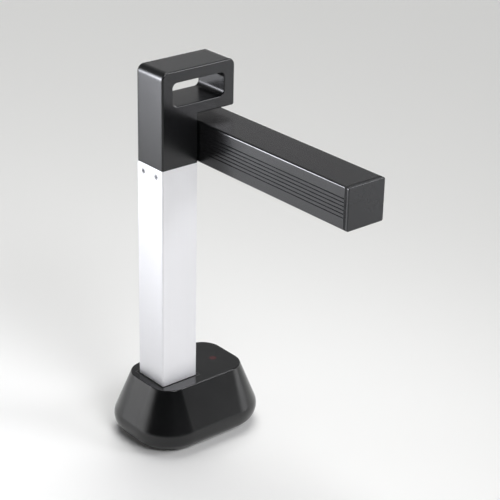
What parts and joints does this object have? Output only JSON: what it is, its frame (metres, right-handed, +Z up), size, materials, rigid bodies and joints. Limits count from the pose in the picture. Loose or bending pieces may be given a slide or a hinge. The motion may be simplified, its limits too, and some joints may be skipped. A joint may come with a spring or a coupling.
{
  "type": "overhead document scanner",
  "caption": "Overhead document scanner: flared base, square aluminium column, head with a carrying slot, and a camera arm beside the head that folds down along the column.",
  "frame": {"origin": "centre of the base's footprint, on the desk, under the rubber pad", "axes": "+Z up the column, -Y the way the camera arm reaches, +X the side the arm lies on"},
  "size_m": [0.1374, 0.267, 0.3707],
  "materials": {
    "base_black": "satin",
    "rubber": "matte",
    "screw_steel": "satin",
    "bright_screw": "satin",
    "weight_iron": "matte",
    "cast_aluminium": "matte",
    "satin_aluminium": "satin",
    "circuit_board": "satin",
    "brass": "satin",
    "socket_steel": "satin",
    "black_chip": "matte",
    "light_guide": "satin",
    "cable_jacket": "matte",
    "head_black": "satin",
    "spring_steel": "satin",
    "arm_black": "satin",
    "arm_cap_grey": "satin",
    "sensor_glass": "gloss",
    "inner_black": "matte",
    "barrel_black": "matte",
    "lens_glass": "gloss",
    "window_glass": "gloss",
    "diffuser": "satin",
    "light_chip": "satin"
  },
  "bodies": {
    "stand": {"base_shell": "base_black", "base_plate": "base_black", "rubber_pad": "rubber", "base_screws": "screw_steel", "base_weight": "weight_iron", "column_foot": "cast_aluminium", "foot_screws": "screw_steel", "column_foot_screws": "screw_steel", "column_tube": "satin_aluminium", "column_top_screws": "bright_screw", "base_board": "circuit_board", "board_spacers": "brass", "base_board_screws": "screw_steel", "usb_socket": "socket_steel", "base_board_chips": "black_chip", "touch_mark": "light_guide", "touch_board": "circuit_board", "touch_lead": "cable_jacket", "head_frame": "cast_aluminium", "head_housing": "head_black", "head_back_cover": "head_black", "head_cover_screws": "screw_steel", "hinge_bush": "brass", "column_cable": "cable_jacket"},
    "arm": {"hinge_shaft": "spring_steel", "friction_washers": "brass", "disc_springs": "spring_steel", "hinge_nut": "spring_steel", "stop_pin": "spring_steel", "arm_hinge_plate": "spring_steel", "hinge_flange_screws": "screw_steel", "hinge_plate_screws": "screw_steel", "arm_housing": "arm_black", "arm_bottom_cover": "arm_black", "arm_cover_screws": "screw_steel", "arm_end_cap": "arm_cap_grey", "camera_board": "circuit_board", "image_sensor": "sensor_glass", "lens_holder": "inner_black", "lens_barrel": "barrel_black", "lens_glass": "lens_glass", "window_ring": "barrel_black", "window_glass": "window_glass", "light_diffuser": "diffuser", "light_board": "circuit_board", "light_chips": "light_chip", "arm_board": "circuit_board", "arm_board_chips": "black_chip", "arm_board_screws": "screw_steel", "ribbon_sockets": "inner_black", "camera_ribbon": "cable_jacket", "light_lead": "cable_jacket", "arm_cable": "cable_jacket"}
  },
  "joints": [
    {"name": "arm_fold", "type": "hinge", "parent": "stand", "child": "arm", "pos_m": [-0.0024, -0.0005, 0.2994], "axis": [1, 0, 0], "range_deg": [0, 90]}
  ]
}
